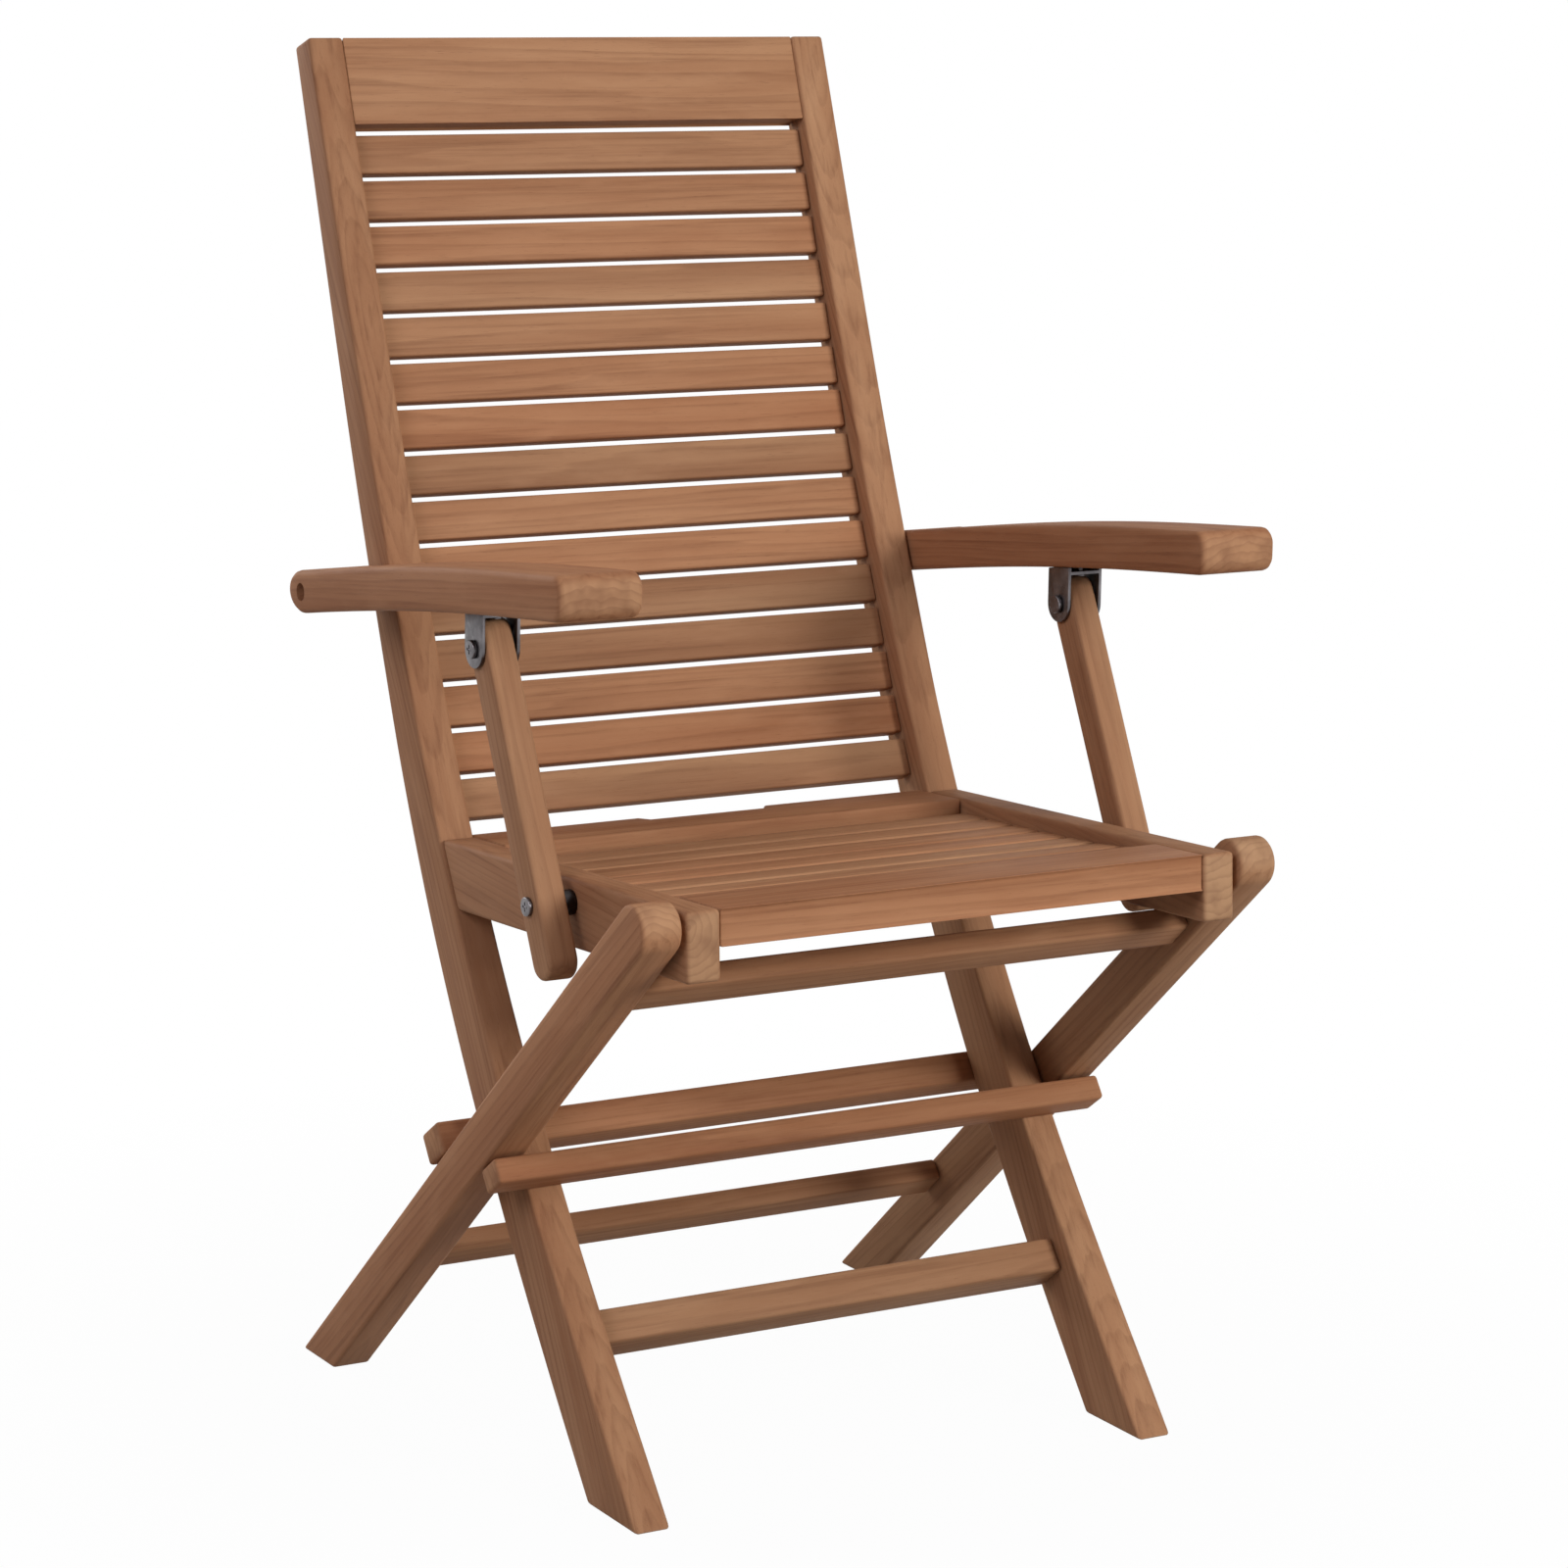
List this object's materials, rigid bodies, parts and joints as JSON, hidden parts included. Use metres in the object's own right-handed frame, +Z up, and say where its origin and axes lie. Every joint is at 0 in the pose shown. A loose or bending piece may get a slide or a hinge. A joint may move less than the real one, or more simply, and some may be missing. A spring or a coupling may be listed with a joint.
{
  "type": "folding armchair",
  "caption": "Folding wooden patio armchair with a tall slatted back, slatted seat, scissor legs with stop bars, and arms on hinged struts.",
  "frame": {"origin": "middle of the bounding box, at floor level", "axes": "+X to the sitter's left as they face forward, seen as the right of the chair from the front; the chair faces -Y; +Z up"},
  "size_m": [0.602, 0.6464, 1.04],
  "materials": {
    "teak": "sanded, lightly oiled",
    "teak_dark": "sanded, lightly oiled",
    "stainless_steel": "brushed"
  },
  "bodies": {
    "back_frame": {"stile_left": "teak", "stile_right": "teak", "leg_pivot_pin_left": "stainless_steel", "leg_pivot_pin_right": "stainless_steel", "arm_bolt_left": "stainless_steel", "arm_bolt_right": "stainless_steel", "top_rail": "teak", "back_slat_01": "teak", "back_slat_02": "teak", "back_slat_03": "teak", "back_slat_04": "teak", "back_slat_05": "teak", "back_slat_06": "teak", "back_slat_07": "teak", "back_slat_08": "teak", "back_slat_09": "teak", "back_slat_10": "teak", "back_slat_11": "teak", "back_slat_12": "teak", "back_slat_13": "teak", "back_slat_14": "teak", "back_slat_15": "teak", "front_stretcher": "teak_dark", "stop_bar_front": "teak", "stop_bar_rear": "teak_dark"},
    "rear_legs": {"rear_leg_left": "teak", "rear_leg_right": "teak", "seat_pivot_pin_left": "stainless_steel", "seat_pivot_pin_right": "stainless_steel", "upper_stretcher": "teak_dark", "rear_stretcher": "teak_dark"},
    "seat": {"seat_rail_left": "teak", "seat_rail_right": "teak", "strut_spacer_left": "stainless_steel", "strut_spacer_right": "stainless_steel", "seat_front_board": "teak", "seat_rear_board": "teak", "seat_slat_1": "teak", "seat_slat_2": "teak", "seat_slat_3": "teak", "seat_slat_4": "teak", "seat_slat_5": "teak", "seat_slat_6": "teak", "seat_slat_7": "teak"},
    "arm_left": {"armrest_left": "teak", "strut_bracket_left": "stainless_steel", "bracket_screw_left_front": "stainless_steel", "bracket_screw_left_rear": "stainless_steel", "bracket_bolt_left": "stainless_steel"},
    "arm_right": {"armrest_right": "teak", "strut_bracket_right": "stainless_steel", "bracket_screw_right_front": "stainless_steel", "bracket_screw_right_rear": "stainless_steel", "bracket_bolt_right": "stainless_steel"},
    "arm_strut_left": {"strut_left": "teak", "strut_bolt_left": "stainless_steel"},
    "arm_strut_right": {"strut_right": "teak", "strut_bolt_right": "stainless_steel"}
  },
  "joints": [
    {"name": "leg_fold", "type": "hinge", "parent": "back_frame", "child": "rear_legs", "pos_m": [0, -0.047, 0.226], "axis": [-1, 0, 0], "range_deg": [0, 66]},
    {"name": "seat_fold", "type": "hinge", "parent": "rear_legs", "child": "seat", "pos_m": [0, -0.30393, 0.454], "axis": [1, 0, 0], "range_deg": [0, 139]},
    {"name": "arm_fold_left", "type": "hinge", "parent": "back_frame", "child": "arm_left", "pos_m": [-0.268, 0.16306, 0.626], "axis": [-1, 0, 0], "range_deg": [0, 111.2]},
    {"name": "arm_fold_right", "type": "hinge", "parent": "back_frame", "child": "arm_right", "pos_m": [0.268, 0.16306, 0.626], "axis": [-1, 0, 0], "range_deg": [0, 111.2]},
    {"name": "strut_fold_left", "type": "hinge", "parent": "arm_left", "child": "arm_strut_left", "pos_m": [-0.2535, -0.06733, 0.6148], "axis": [1, 0, 0], "range_deg": [0, 97.7]},
    {"name": "strut_fold_right", "type": "hinge", "parent": "arm_right", "child": "arm_strut_right", "pos_m": [0.2535, -0.06733, 0.6148], "axis": [1, 0, 0], "range_deg": [0, 97.7]}
  ],
  "couplings": [
    {"joint": "seat_fold", "follows": "leg_fold", "ratio": 2.1061},
    {"joint": "arm_fold_left", "follows": "leg_fold", "ratio": 1.6851},
    {"joint": "arm_fold_right", "follows": "leg_fold", "ratio": 1.6851},
    {"joint": "strut_fold_left", "follows": "leg_fold", "ratio": 1.4807},
    {"joint": "strut_fold_right", "follows": "leg_fold", "ratio": 1.4807}
  ]
}
